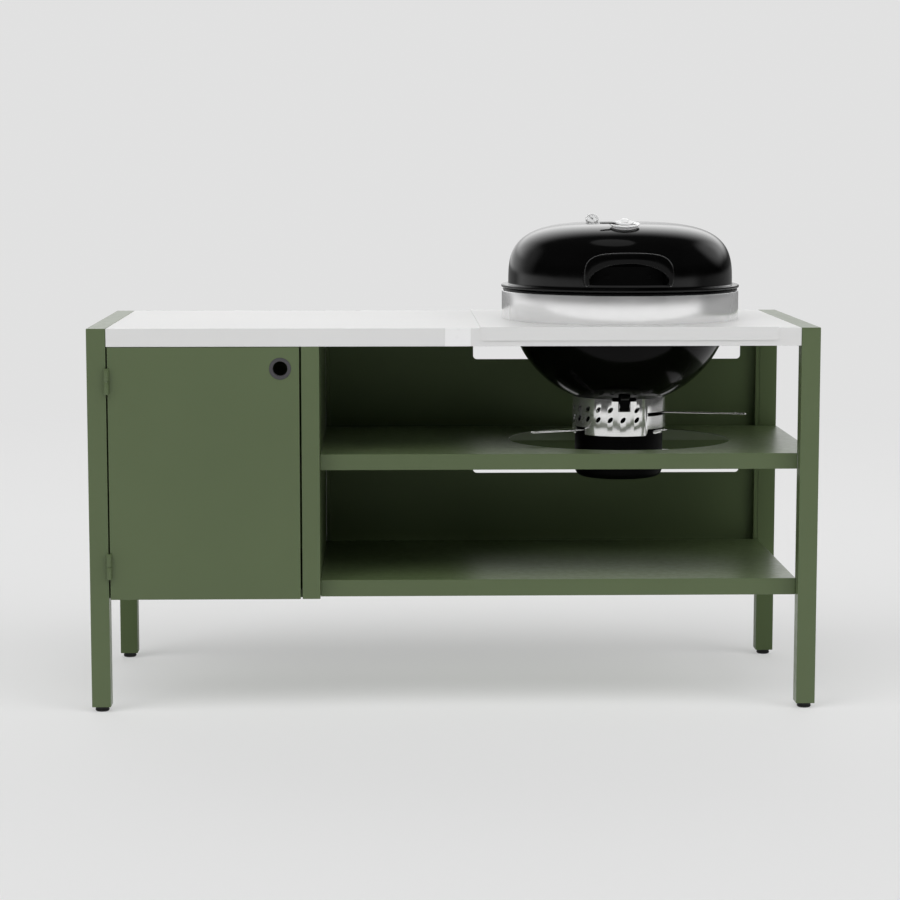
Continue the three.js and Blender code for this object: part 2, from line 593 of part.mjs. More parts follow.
function lidShell() {
  const rim = [
    [LID_RADIUS - SHELL, LID_BASE - 6.5],
    [LID_RADIUS + 13, LID_BASE - 6.5],
    [LID_RADIUS + 17, LID_BASE - 3],
    [LID_RADIUS + 15, LID_BASE + 1.5],
    [LID_RADIUS, LID_BASE + 3],
  ];
  const outer = lidCurve(LID_RADIUS, LID_RISE).slice(1);
  const inner = lidCurve(LID_RADIUS - SHELL, LID_RISE - SHELL).reverse();
  const shell = turned([...rim, ...outer, ...inner, rim[0]]);
  const probe = disc(4, -60, 0, 12).translate([DIAL_CENTRE[0], DIAL_CENTRE[1], DIAL_CENTRE[2]]);
  return cut(shell, ...ventHoles(-20, 20).map(placeVent), probe);
}

// The handle is a moulded arch: flat crowned top, elliptical finger space, and two feet that reach back to the lid.
const HANDLE_FRONT = -338;
const HANDLE_HALF = 107;
const HANDLE_TOP = 1075;
const HANDLE_BOTTOM = 990;
function lidHandle() {
  const outline = new THREE.Shape();
  outline.moveTo(-HANDLE_HALF, HANDLE_BOTTOM);
  outline.lineTo(-HANDLE_HALF, HANDLE_TOP - 40);
  outline.quadraticCurveTo(-HANDLE_HALF, HANDLE_TOP - 16, -HANDLE_HALF + 22, HANDLE_TOP - 11);
  outline.quadraticCurveTo(0, HANDLE_TOP + 11, HANDLE_HALF - 22, HANDLE_TOP - 11);
  outline.quadraticCurveTo(HANDLE_HALF, HANDLE_TOP - 16, HANDLE_HALF, HANDLE_TOP - 40);
  outline.lineTo(HANDLE_HALF, HANDLE_BOTTOM);
  outline.lineTo(HANDLE_HALF - 10, HANDLE_BOTTOM);
  outline.absellipse(0, HANDLE_BOTTOM, HANDLE_HALF - 10, HANDLE_TOP - 26 - HANDLE_BOTTOM, 0, Math.PI, false);
  const arch = wall(outline, HANDLE_FRONT, HANDLE_FRONT + 24, 8);
  const footBlock = (side) => {
    const x0 = side * (HANDLE_HALF - 20);
    const x1 = side * HANDLE_HALF;
    return box(Math.min(x0, x1), Math.max(x0, x1), HANDLE_FRONT + 10, -220, HANDLE_BOTTOM, HANDLE_BOTTOM + 44);
  };
  return cut(join(arch, footBlock(-1), footBlock(1)), lidBody(GAP));
}

// A curved plate that stands off the lid behind the handle.
function heatShield() {
  const r0 = LID_RADIUS + 6;
  const ring = tube(r0 + 1.5, r0, HANDLE_BOTTOM + 2, HANDLE_BOTTOM + 46);
  const shield = ring.intersect(box(-84, 84, -400, 0, 900, 1200));
  const spacer = (x) => box(x - 6, x + 6, -(r0 - 6), -(r0 - 40), HANDLE_BOTTOM + 18, HANDLE_BOTTOM + 30);
  const pads = [-50, 50].map((x) => spacer(x));
  return cut(join(shield, ...pads), lidBody(GAP));
}

function lidPieces() {
  const group = new THREE.Group();
  group.position.set(KETTLE_X, KETTLE_Y, 0);
  group.rotation.z = LID_TURN;
  const add = (name, made, material) => group.add(mesh(name, made, material));
  add("lid_shell", lidShell(), ENAMEL);
  add("lid_handle", lidHandle(), PLASTIC);
  add("handle_heat_shield", heatShield(), ENAMEL_MATT);

  add("vent_base", cut(placeVent(cut(disc(32, -6, 4.5, 32), ...ventHoles(-20, 20))), lidBody(GAP)), ALUMINIUM);
  const plain = cut(disc(DISC_RADIUS, 4.8, 7.6, 36), disc(3.6, 0, 20, 16), ...ventHoles(0, 20));
  add("vent_disc", placeVent(plain), ALUMINIUM);
  const tab = cut(box(-60, -20, -7, 7, 8, 10.4), disc(22.5, 0, 20, 32));
  add("vent_tab", placeVent(tab), PLASTIC);
  const hub = turned([[0, 4.8], [3.3, 4.8], [3.3, 8], [21, 8], [22, 10], [20, 13], [9, 15], [7, 18], [0, 19]], 28);
  add("vent_hub", placeVent(hub), ALUMINIUM);

  const dialCase = cut(disc(DIAL_RADIUS, -9, 0, 28), disc(DIAL_RADIUS - 1.6, -3, 1, 28), disc(1.6, -20, 1, 10));
  add("thermometer_case", cut(placeDial(dialCase), lidBody(GAP)), STEEL);
  add("thermometer_glass", placeDial(disc(DIAL_RADIUS - 2, -1.2, -0.2, 24)), GLASS);
  const needle = join(box(-0.7, 0.7, -4, 11, -2.4, -1.8), disc(1.6, -2.4, -1.8, 12), disc(1.1, -10, -1.9, 10));
  add("thermometer_needle", placeDial(turnZ(needle, 35)), RUBBER);
  return group;
}

// ---------------------------------------------------------------- the whole object
const object = new THREE.Group();
object.add(endFrames(), worktopPieces(), cabinetPieces(), doorPieces(), kettlePieces(), lidPieces());

export default object;
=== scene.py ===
"""Kettle charcoal grill station: detailed pieces, materials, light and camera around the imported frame.

Meshes are made in millimetres, and piece() turns them into metres. Z is up, and the front is towards -Y.
"""
import math

import bmesh
import bpy
from mathutils import Matrix, Vector


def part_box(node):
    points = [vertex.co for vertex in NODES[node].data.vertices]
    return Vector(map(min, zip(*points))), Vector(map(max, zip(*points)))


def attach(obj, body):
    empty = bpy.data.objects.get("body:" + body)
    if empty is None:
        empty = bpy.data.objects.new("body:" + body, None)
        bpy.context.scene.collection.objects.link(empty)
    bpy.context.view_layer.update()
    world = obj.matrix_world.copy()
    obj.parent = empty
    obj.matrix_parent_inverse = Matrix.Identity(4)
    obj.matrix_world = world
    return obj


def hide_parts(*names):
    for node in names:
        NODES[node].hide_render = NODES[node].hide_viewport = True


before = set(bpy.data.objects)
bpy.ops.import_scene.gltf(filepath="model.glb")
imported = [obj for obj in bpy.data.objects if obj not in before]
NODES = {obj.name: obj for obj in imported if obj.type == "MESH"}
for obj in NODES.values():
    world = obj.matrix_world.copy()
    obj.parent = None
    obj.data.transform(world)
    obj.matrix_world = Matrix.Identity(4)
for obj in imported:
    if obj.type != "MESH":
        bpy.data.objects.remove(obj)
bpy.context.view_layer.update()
MM = 0.001
TAU = 2 * math.pi


# ---------------------------------------------------------------- places, from the frame
def middle(node):
    low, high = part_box(node)
    return (low + high) / 2


KETTLE = middle("kettle_collar")
KETTLE.z = 0
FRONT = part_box("front_left_leg")[0].y / MM
AT_KETTLE = Matrix.Translation(KETTLE)
LID_TURN = math.radians(-1.6)
AT_LID = AT_KETTLE @ Matrix.Rotation(LID_TURN, 4, "Z")


# ---------------------------------------------------------------- node helpers
class Nodes:
    """A material's node tree, with short calls for what every finish here uses."""

    def __init__(self, name):
        self.material = bpy.data.materials.new(name)
        self.material.use_nodes = True
        self.tree = self.material.node_tree
        self.shader = self.tree.nodes["Principled BSDF"]
        self.coordinates = self.tree.nodes.new("ShaderNodeTexCoord").outputs["Object"]

    def link(self, a, b):
        self.tree.links.new(a, b)

    def set(self, **values):
        for name, value in values.items():
            self.shader.inputs[name.replace("_", " ")].default_value = value

    def noise(self, scale, detail=3, stretch=(1, 1, 1), roughness=0.5):
        mapping = self.tree.nodes.new("ShaderNodeMapping")
        mapping.inputs["Scale"].default_value = stretch
        self.link(self.coordinates, mapping.inputs["Vector"])
        node = self.tree.nodes.new("ShaderNodeTexNoise")
        node.inputs["Scale"].default_value = scale
        node.inputs["Detail"].default_value = detail
        node.inputs["Roughness"].default_value = roughness
        self.link(mapping.outputs["Vector"], node.inputs["Vector"])
        return node.outputs["Fac"]

    def spread(self, value, low, high, from_low=0.3, from_high=0.7):
        node = self.tree.nodes.new("ShaderNodeMapRange")
        for name, number in (("From Min", from_low), ("From Max", from_high), ("To Min", low), ("To Max", high)):
            node.inputs[name].default_value = number
        self.link(value, node.inputs["Value"])
        return node.outputs["Result"]

    def colours(self, value, first, second):
        node = self.tree.nodes.new("ShaderNodeMix")
        node.data_type = "RGBA"
        node.inputs["A"].default_value = (*first, 1)
        node.inputs["B"].default_value = (*second, 1)
        self.link(value, node.inputs["Factor"])
        return node.outputs["Result"]

    def bump(self, height, distance, strength=1.0, after=None):
        node = self.tree.nodes.new("ShaderNodeBump")
        node.inputs["Distance"].default_value = distance
        node.inputs["Strength"].default_value = strength
        self.link(height, node.inputs["Height"])
        if after:
            self.link(after, node.inputs["Normal"])
        self.link(node.outputs["Normal"], self.shader.inputs["Normal"])
        return node.outputs["Normal"]


def shade(colour, factor):
    return tuple(c * factor for c in colour)


def painted(name, colour, roughness, orange_peel=0.00006, vary=0.05, specular=0.5):
    """Powder coat: a fine orange peel, and a slight drift of colour and gloss over each sheet."""
    n = Nodes(name)
    n.set(Specular_IOR_Level=specular)
    drift = n.spread(n.noise(2.2, 2), 0, 1)
    n.link(n.colours(drift, shade(colour, 1 - vary), shade(colour, 1 + vary)), n.shader.inputs["Base Color"])
    n.link(n.spread(n.noise(60, 3), roughness - 0.04, roughness + 0.04), n.shader.inputs["Roughness"])
    broad = n.bump(n.noise(420, 2), orange_peel)
    n.bump(n.noise(1500, 2), orange_peel * 0.4, after=broad)
    return n.material


def metal(name, colour, roughness, brushed, depth, vary, metallic=1.0):
    """Bare metal with brush marks: brushed stretches the noise so that it runs along one direction."""
    n = Nodes(name)
    n.set(Metallic=metallic)
    streak = n.noise(260, 4, brushed, 0.6)
    n.link(n.colours(n.spread(streak, 0, 1), shade(colour, 1 - vary), shade(colour, 1 + vary * 0.5)),
           n.shader.inputs["Base Color"])
    n.link(n.spread(n.noise(35, 3), roughness - 0.02, roughness + 0.02), n.shader.inputs["Roughness"])
    n.bump(streak, depth)
    return n.material


def glossy(name, colour, roughness, wave=0.00012, grain=0.0, specular=0.5):
    """Enamel and moulded plastic: a near-even colour with a slow surface wave and, if asked, a fine grain."""
    n = Nodes(name)
    n.set(Specular_IOR_Level=specular)
    drift = n.spread(n.noise(8, 2), 0, 1)
    n.link(n.colours(drift, shade(colour, 0.8), shade(colour, 1.2)), n.shader.inputs["Base Color"])
    n.link(n.spread(n.noise(24, 3), roughness * 0.8, roughness * 1.25), n.shader.inputs["Roughness"])
    wavy = n.bump(n.noise(14, 1), wave)
    if grain:
        n.bump(n.noise(1800, 2), grain, after=wavy)
    return n.material


# The smallest bumps keep brushed metal from looking grainy at this size.
FAINT = 0.0000001
BRUSHED_UP = (0.1, 0.1, 3)
EVEN = (1, 1, 1)
GREEN = painted("green_powder_coat", (0.105, 0.142, 0.0655), 0.32, specular=0.4)
# the back panels and back legs: the same green paint, made darker and less glossy as painted shade for the dim bay
SHADED_GREEN = painted("green_coat_painted_shade", (0.101, 0.138, 0.063), 0.38, specular=0.08)
WHITE = painted("white_powder_coat", (0.80, 0.80, 0.795), 0.45, 0.00003, 0.01, specular=0.25)
PLATE = painted("plate_white_coat", (0.95, 0.95, 0.95), 0.30, 0.00002, 0.01, specular=0.3)
ENAMEL = glossy("black_enamel", (0.0015, 0.0015, 0.0015), 0.11, 0.00008, specular=0.3)
BOWL_ENAMEL = glossy("bowl_enamel", (0.001, 0.001, 0.001), 0.13, 0.00006, specular=0.1)
ALUMINIUM = metal("satin_aluminium", (0.95, 0.95, 0.95), 0.15, BRUSHED_UP, FAINT, 0.01, metallic=0.7)
CAST = painted("cast_aluminium", (0.92, 0.92, 0.92), 0.35, 0.00001, 0.02)
STEEL = metal("brushed_steel", (0.93, 0.93, 0.92), 0.14, BRUSHED_UP, FAINT, 0.02, metallic=0.8)
STRAP = metal("dull_steel", (0.10, 0.10, 0.10), 0.45, EVEN, 0.000001, 0.05, metallic=0.5)
WIRE = metal("plated_wire", (0.68, 0.67, 0.65), 0.22, EVEN, 0.000002, 0.05)
# matt black: the ash pan's and heat shield's own coat, and painted shade on the strap clips where they lie in the
# skirt's slots
MATT_BLACK_AND_SLOT_SHADE = painted("matt_black_coat", (0.0012, 0.0012, 0.0012), 0.5, 0.00005, 0.15, specular=0.05)
PLASTIC = glossy("black_nylon", (0.0012, 0.0012, 0.0012), 0.25, 0.00006, 0.000008, specular=0.15)
GREY = glossy("dark_grey_plastic", (0.060, 0.059, 0.063), 0.38, 0.00004, 0.000015)
RUBBER = painted("black_rubber", (0.012, 0.012, 0.012), 0.7, 0.00006, 0.1)
DIAL = glossy("dial_paint", (0.80, 0.80, 0.80), 0.4, 0.00002)


def clear_glass():
    """Thin glass that lets light through to the dial."""
    n = Nodes("clear_glass")
    n.set(Alpha=0.12, Roughness=0.02, IOR=1.5, Base_Color=(0.9, 0.92, 0.92, 1))
    n.bump(n.noise(40, 1), 0.00001)
    return n.material


GLASS = clear_glass()


# ---------------------------------------------------------------- mesh helpers, in millimetres
def spin(profile, segments=128, closed=False):
    """A profile of (radius, height) turned about Z. An open profile starts and ends on the axis."""
    bm = bmesh.new()
    rings = []
    for r, z in profile:
        count = 1 if r < 1e-6 else segments
        rings.append([bm.verts.new((r * math.cos(TAU * i / segments), r * math.sin(TAU * i / segments), z))
                      for i in range(count)])
    pairs = list(zip(rings, rings[1:]))
    if closed:
        pairs.append((rings[-1], rings[0]))
    for a, b in pairs:
        for i in range(segments):
            j = (i + 1) % segments
            corners = [a[i % len(a)], a[j % len(a)], b[j % len(b)], b[i % len(b)]]
            unique = list(dict.fromkeys(corners))
            if len(unique) > 2:
                bm.faces.new(unique)
    bmesh.ops.recalc_face_normals(bm, faces=bm.faces)
    return bm


def fillet(points, radius, steps=4, closed=True):
    """Rounds the corners of an outline. radius is one number, or one for each corner."""
    count = len(points)
    radii = radius if isinstance(radius, (list, tuple)) else [radius] * count
    out = []
    for i, (point, r) in enumerate(zip(points, radii)):
        p = Vector(point)
        if r <= 0 or (not closed and i in (0, count - 1)):
            out.append(tuple(p))
            continue
        a, b = Vector(points[i - 1]) - p, Vector(points[(i + 1) % count]) - p
        half = a.angle(b) / 2
        if half > math.radians(88):
            out.append(tuple(p))
            continue
        reach = min(r / math.tan(half), a.length * 0.49, b.length * 0.49)
        start, end = p + a.normalized() * reach, p + b.normalized() * reach
        for k in range(steps + 1):
            t = k / steps
            out.append(tuple(start * (1 - t) ** 2 + p * (2 * t * (1 - t)) + end * t * t))
    return out


def prism(outline, low, high):
    """A flat outline in X and Y, raised from low to high."""
    bm = bmesh.new()
    bottom = [bm.verts.new((x, y, low)) for x, y in outline]
    top = [bm.verts.new((x, y, high)) for x, y in outline]
    bm.faces.new(bottom)
    bm.faces.new(top)
    for i in range(len(outline)):
        j = (i + 1) % len(outline)
        bm.faces.new((bottom[i], bottom[j], top[j], top[i]))
    bmesh.ops.recalc_face_normals(bm, faces=bm.faces)
    return bm


def block(x0, x1, y0, y1, z0, z1, round_edges=0.0, steps=2):
    bm = prism([(x0, y0), (x1, y0), (x1, y1), (x0, y1)], z0, z1)
    return soften(bm, round_edges, steps) if round_edges else bm


def soften(bm, width, steps=2, above=30):
    """Rounds every edge sharper than the angle given."""
    edges = [e for e in bm.edges if len(e.link_faces) == 2 and e.calc_face_angle(0) > math.radians(above)]
    bmesh.ops.bevel(bm, geom=edges, offset=width, offset_type="OFFSET", segments=steps, profile=0.5,
                    affect="EDGES", clamp_overlap=True)
    return bm


def moved(bm, matrix):
    bm.transform(matrix)
    return bm


def turn(degrees, axis="Z"):
    return Matrix.Rotation(math.radians(degrees), 4, axis)


def shift(x, y, z):
    return Matrix.Translation((x, y, z))


def together(*parts):
    """Several closed meshes in one."""
    whole = bmesh.new()
    for part in parts:
        mesh = bpy.data.meshes.new("part")
        part.to_mesh(mesh)
        part.free()
        whole.from_mesh(mesh)
        bpy.data.meshes.remove(mesh)
    return whole


def sweep(points, radius, sides=10, closed=False, squeeze=1.0):
    """A round wire along points. Its ends are domed."""
    path = [Vector(p) for p in points]
    count = len(path)
    tangents = []
    for i in range(count):
        a = path[i - 1] if closed or i else path[0]
        b = path[(i + 1) % count] if closed or i < count - 1 else path[-1]
        tangents.append((b - a).normalized())
    up = Vector((0, 0, 1)) if abs(tangents[0].z) < 0.9 else Vector((1, 0, 0))
    side = tangents[0].cross(up).normalized()
    bm = bmesh.new()
    rings = []

    def ring(centre, tangent, r):
        nonlocal side
        side = (side - tangent * side.dot(tangent)).normalized()
        other = tangent.cross(side)
        rings.append([bm.verts.new(centre + (side * math.cos(TAU * k / sides) + other * math.sin(TAU * k / sides)
                                             * squeeze) * r) for k in range(sides)])

    if closed:
        for p, t in zip(path, tangents):
            ring(p, t, radius)
        pairs = list(zip(rings, rings[1:] + rings[:1]))
    else:
        for angle in (75, 45, 20):
            a = math.radians(angle)
            ring(path[0] - tangents[0] * radius * (math.sin(a) - 1), tangents[0], radius * math.cos(a))
        for p, t in zip(path[1:-1], tangents[1:-1]):
            ring(p, t, radius)
        for angle in (20, 45, 75):
            a = math.radians(angle)
            ring(path[-1] + tangents[-1] * radius * (math.sin(a) - 1), tangents[-1], radius * math.cos(a))
        pairs = list(zip(rings, rings[1:]))
        bm.faces.new(reversed(rings[0]))
        bm.faces.new(rings[-1])
    for a, b in pairs:
        for k in range(sides):
            m = (k + 1) % sides
            bm.faces.new((a[k], a[m], b[m], b[k]))
    bmesh.ops.recalc_face_normals(bm, faces=bm.faces)
    return bm


def loft(sections, capped=True):
    """Closed sections of equal length, joined in order."""
    bm = bmesh.new()
    rings = [[bm.verts.new(p) for p in section] for section in sections]
    for a, b in zip(rings, rings[1:]):
        for k in range(len(a)):
            m = (k + 1) % len(a)
            bm.faces.new((a[k], a[m], b[m], b[k]))
    if capped:
        bm.faces.new(rings[0])
        bm.faces.new(rings[-1])
    bmesh.ops.recalc_face_normals(bm, faces=bm.faces)
    return bm


def scratch(bm):
    mesh = bpy.data.meshes.new("scratch")
    bm.to_mesh(mesh)
    bm.free()
    obj = bpy.data.objects.new("scratch", mesh)
    bpy.context.scene.collection.objects.link(obj)
    return obj


def carve(bm, *cutters, operation="DIFFERENCE"):
    """bm less the cutters, or with operation INTERSECT what lies in them."""
    target, tool = scratch(bm), scratch(together(*cutters))
    modifier = target.modifiers.new("carve", "BOOLEAN")
    modifier.operation, modifier.object, modifier.solver = operation, tool, "EXACT"
    modifier.use_self = True
    bpy.context.view_layer.update()
    out = bmesh.new()
    out.from_object(target, bpy.context.evaluated_depsgraph_get())
    for obj in (target, tool):
        mesh = obj.data
        bpy.data.objects.remove(obj)
        bpy.data.meshes.remove(mesh)
    bmesh.ops.remove_doubles(out, verts=out.verts, dist=0.002)
    return out


def piece(name, bm, material, body, replaces=(), place=Matrix.Identity(4), smooth=32, subdivide=0):
    """Puts a mesh made in millimetres into the scene, in metres, and tells the frame what it is."""
    bmesh.ops.transform(bm, matrix=Matrix.Scale(MM, 4), verts=bm.verts)
    mesh = bpy.data.meshes.new(name)
    bm.to_mesh(mesh)
    bm.free()
    mesh.transform(place)
    mesh.materials.append(material)
    mesh.polygons.foreach_set("use_smooth", [True] * len(mesh.polygons))
    mesh.set_sharp_from_angle(angle=math.radians(smooth))
    obj = bpy.data.objects.new(name, mesh)
    bpy.context.scene.collection.objects.link(obj)
    if subdivide:
        modifier = obj.modifiers.new("subdivide", "SUBSURF")
        modifier.levels = modifier.render_levels = subdivide
    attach(obj, body)
    if replaces:
        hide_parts(*replaces)
    return obj


def carry(node, material, round_edges=0.0, steps=2):
    """Keeps a CAD node, gives it its finish and breaks its sharp edges."""
    obj = NODES[node]
    obj.data.materials.clear()
    obj.data.materials.append(material)
    if round_edges:
        weld = obj.modifiers.new("weld", "WELD")
        weld.merge_threshold = 0.00001
        bevel = obj.modifiers.new("bevel", "BEVEL")
        bevel.width = round_edges * MM
        bevel.segments = steps
        bevel.limit_method = "ANGLE"
        bevel.angle_limit = math.radians(35)
        for polygon in obj.data.polygons:
            polygon.use_smooth = True
        flat = obj.modifiers.new("flat_faces", "WEIGHTED_NORMAL")
        flat.mode = "FACE_AREA"
        flat.weight = 100
        flat.keep_sharp = False
    return obj


# ---------------------------------------------------------------- bench: carried-over sheet metal
for node in ("front_left_leg", "front_right_leg", "left_top_rail", "right_top_rail"):
    carry(node, GREEN, 0.7)
# back legs in the darker copy of the green: painted shade
for node in ("back_left_leg", "back_right_leg"):
    carry(node, SHADED_GREEN, 0.7)
for node in ("partition_panel", "cabinet_side_panel", "cabinet_floor", "middle_shelf", "lower_shelf",
             "cabinet_door"):
    carry(node, GREEN, 0.8)
# back panels in the darker copy of the green: painted shade
for node in ("cabinet_back_panel", "bay_back_panel"):
    carry(node, SHADED_GREEN, 0.8)
for node in ("worktop", "saddle_plate", "blank_plate"):
    carry(node, PLATE if node == "blank_plate" else WHITE, 0.6)
carry("door_magnet", RUBBER, 1.5)

# feet: a ribbed glide under each leg
for node in ("front_left_foot", "front_right_foot", "back_left_foot", "back_right_foot"):
    low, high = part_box(node)
    plug = block(-19.5, 19.5, -19.5, 19.5, 12.2, 32, 1.0)
    glide = spin(fillet([(0, 0), (14.5, 0), (16.4, 2.2), (16.4, 5), (15.6, 5.6), (15.6, 7), (16.4, 7.6),
                         (16.4, 12), (0, 12)], 0.6, 3, closed=False), 48)
    centre = (low + high) / 2
    piece("glide_" + node, together(glide, plug), RUBBER, "bench", [node],
          Matrix.Translation((centre.x, centre.y, 0)))

# ---------------------------------------------------------------- collar
COLLAR_R, COLLAR_SHEET, COLLAR_LOW, COLLAR_TOP, COLLAR_MOUTH_R = 288.6, 2.2, 902, 970, 278.6
collar_inside = COLLAR_R - COLLAR_SHEET
collar = [(collar_inside, COLLAR_LOW), (COLLAR_R, COLLAR_LOW), (COLLAR_R, COLLAR_TOP), (COLLAR_MOUTH_R, COLLAR_TOP),
          (COLLAR_MOUTH_R, COLLAR_TOP - 1.8), (collar_inside, COLLAR_TOP - 1.8)]
collar = spin(fillet(collar, [0.3, 0.5, 1.6, 0.5, 0.5, 0.8], 4), 192, closed=True)
piece("kettle_collar_ring", collar, ALUMINIUM, "bench", ["kettle_collar"], AT_KETTLE)

# ---------------------------------------------------------------- bowl
BOWL_A, BOWL_B, BOWL_N, MOUTH = 275, 280, 2.1, 970


def bowl_curve(inset, count=44):
    points = []
    for i in range(count + 1):
        angle = i / count * math.pi / 2
        points.append(((BOWL_A - inset) * math.sin(angle) ** (2 / BOWL_N),
                       MOUTH - (BOWL_B - inset) * math.cos(angle) ** (2 / BOWL_N)))
    points[0] = (0, points[0][1])
    return points


def bowl_z(r, inset=0):
    return MOUTH - (BOWL_B - inset) * (1 - (r / (BOWL_A - inset)) ** BOWL_N) ** (1 / BOWL_N)


outer, inner = bowl_curve(0)[:-1], bowl_curve(2.5)[:-1]
lip = fillet([(275, 966), (275.4, 970.5), (286, 970.5), (286, 976.4), (272.4, 976.4), (272.4, 966)],
             [0, 2.2, 2.6, 2.6, 2.0, 0], 6, closed=False)
vent = prism(fillet([(34, -9), (78, -9), (78, 9), (34, 9)], 8.5, 5), 600, 760)
vents = [moved(vent.copy(), turn(a)) for a in (30, 150, 270)]
shaft_hole = spin([(0, 600), (9, 600), (9, 760), (0, 760)], 32)
bowl = carve(spin([*outer, *lip, *reversed(inner)], 160), shaft_hole, *vents)
piece("bowl", bowl, BOWL_ENAMEL, "bench", ["kettle_bowl"], AT_KETTLE, 40)


# ---------------------------------------------------------------- grates
def grate(name, node, radius, wire, bars, feet):
    z = middle(node).z / MM
    parts = [sweep([(radius * math.cos(TAU * i / 96), radius * math.sin(TAU * i / 96), z) for i in range(96)],
                   wire, 10, closed=True)]
    for i in range(bars):
        x = radius * ((i + 0.5) / bars * 2 - 1)
        reach = math.sqrt(radius * radius - x * x)
        parts.append(sweep([(x, -reach, z), (x, 0, z), (x, reach, z)], wire * 0.62, 8))
    under = z - wire * 1.2
    for y in feet:
        reach = math.sqrt(radius * radius - y * y)
        parts.append(sweep([(-reach, y, under), (0, y, under), (reach, y, under)], wire * 0.7, 8))
    piece(name, together(*parts), WIRE, "bench", [node], AT_KETTLE, 50)


grate("cooking_grate_wires", "cooking_grate", 264, 3.1, 31, (-130, 0, 130))
grate("charcoal_grate_wires", "charcoal_grate", 192, 3.5, 13, (-60, 60))
for i in (1, 2, 3):
    for kind in ("cooking", "charcoal"):
        carry(f"{kind}_grate_tab_{i}", WIRE, 0.5)

# ---------------------------------------------------------------- sweep
carry("sweep_blades", STEEL, 0.3)
carry("sweep_bush", STEEL, 0.3)
carry("sweep_shaft", STEEL, 0.4)
LEVER_Z, LEVER_ANGLE = 671.5, -14.4
hub = fillet([(4.8, LEVER_Z - 7), (10, LEVER_Z - 7), (10, LEVER_Z + 7), (4.8, LEVER_Z + 7)], 0.8, 3)
hub = spin(hub, 48, closed=True)
rod = sweep([(9, 0, LEVER_Z), (120, 0, LEVER_Z), (220, 0, LEVER_Z), (288, 0, LEVER_Z)], 2.4, 14)
neck = [(0, 282), (2.4, 282), (3.4, 285), (3.4, 290), (2.0, 293), (2.0, 297), (0, 297)]
neck = spin(fillet(neck, 0.6, 3, closed=False), 20)
LOOP_AT, LOOP_R = 303, 8.4
loop = [(LOOP_AT + LOOP_R * math.cos(TAU * i / 32), LOOP_R * math.sin(TAU * i / 32), LEVER_Z) for i in range(32)]
loop = sweep(loop, 2.1, 10, closed=True)
lever = together(hub, rod, moved(neck, shift(0, 0, LEVER_Z) @ turn(90, "Y")), loop)
piece("sweep_handle", lever, WIRE, "sweep", ["sweep_lever"], AT_KETTLE @ turn(LEVER_ANGLE), 40)

# ---------------------------------------------------------------- ash skirt
SKIRT_R, SKIRT_SHEET, SKIRT_LOW, SKIRT_HIGH = 114, 1.4, 621, 711
CLIPS = (-88.5, 31.5, 151.5)
HOLE_ROWS, HOLE_PITCH, PITCH_AFTER_CLIP = (684.3, 660.2), 15.5, 17.3
UNDER_CLIPS = (0, -8)


def wedge(start, end, z0, z1, tilt=0):
    """A block through the skirt between two angles. tilt widens it at the bottom, in degrees."""
    def ring(a, b, z):
        angles = [math.radians(a + (b - a) * i / 12) for i in range(13)]
        arc = [(160 * math.cos(angle), 160 * math.sin(angle), z) for angle in angles]
        core = [(60 * x / 160, 60 * y / 160, z) for x, y, _ in reversed(arc)]
        return arc + core
    return loft([ring(start - tilt, end + tilt, z0), ring(start, end, z1)])


oval = [(4.9 * math.cos(TAU * i / 28), 8.3 * math.sin(TAU * i / 28)) for i in range(28)]
slanted = [moved(prism(oval, -8, 8), shift(0, -SKIRT_R, z) @ turn(40, "Y") @ turn(90, "X")) for z in HOLE_ROWS]
skirt_inside = SKIRT_R - SKIRT_SHEET
skirt = [(skirt_inside, SKIRT_LOW), (SKIRT_R, SKIRT_LOW), (SKIRT_R, SKIRT_HIGH), (skirt_inside, SKIRT_HIGH)]
skirt = spin(fillet(skirt, 0.5, 2), 192, closed=True)
cutters = []
for i in range(-12, 2):
    for row, hole in enumerate(slanted):
        if row == 1 or i not in UNDER_CLIPS:
            cutters.append(moved(hole.copy(), turn(i * (PITCH_AFTER_CLIP if i > 0 else HOLE_PITCH))))
lever_slot = wedge(LEVER_ANGLE - 42.8, LEVER_ANGLE + 30, LEVER_Z - 4, LEVER_Z + 5)
latch_notch = wedge(-56.3, 4, SKIRT_LOW - 10, SKIRT_LOW + 15.5, 9.4)
handle_notch = wedge(199, 218.7, SKIRT_LOW - 10, SKIRT_LOW + 18)
cutters += [lever_slot, latch_notch, handle_notch]
for angle in CLIPS:
    cutters += [wedge(angle - 15, angle + 15, SKIRT_HIGH - 5.5, SKIRT_HIGH + 10),
                wedge(angle - 7.5, angle + 7.5, 681, SKIRT_HIGH + 10)]
skirt = carve(skirt, *cutters)
lips = []
for angle in CLIPS:
    arc = [math.radians(angle + 7.2 * (i / 8 - 1)) for i in range(17)]
    lips.append(sweep([((SKIRT_R - 0.2) * math.cos(a), (SKIRT_R - 0.2) * math.sin(a), 680.6) for a in arc], 1.3, 8))
skirt = together(skirt, *lips)
piece("ash_skirt_sheet", skirt, STEEL, "bench", ["ash_skirt"], AT_KETTLE, 30)


def ribbon(profile, width, round_edges=0.5):
    """A bent strip: its side view in Y and Z, extruded along X."""
    bm = prism(profile, -width / 2, width / 2)
    bm.transform(Matrix(((0, 0, 1, 0), (1, 0, 0, 0), (0, 1, 0, 0), (0, 0, 0, 1))))
    bmesh.ops.recalc_face_normals(bm, faces=bm.faces)
    return soften(bm, round_edges, 2, 40) if round_edges else bm


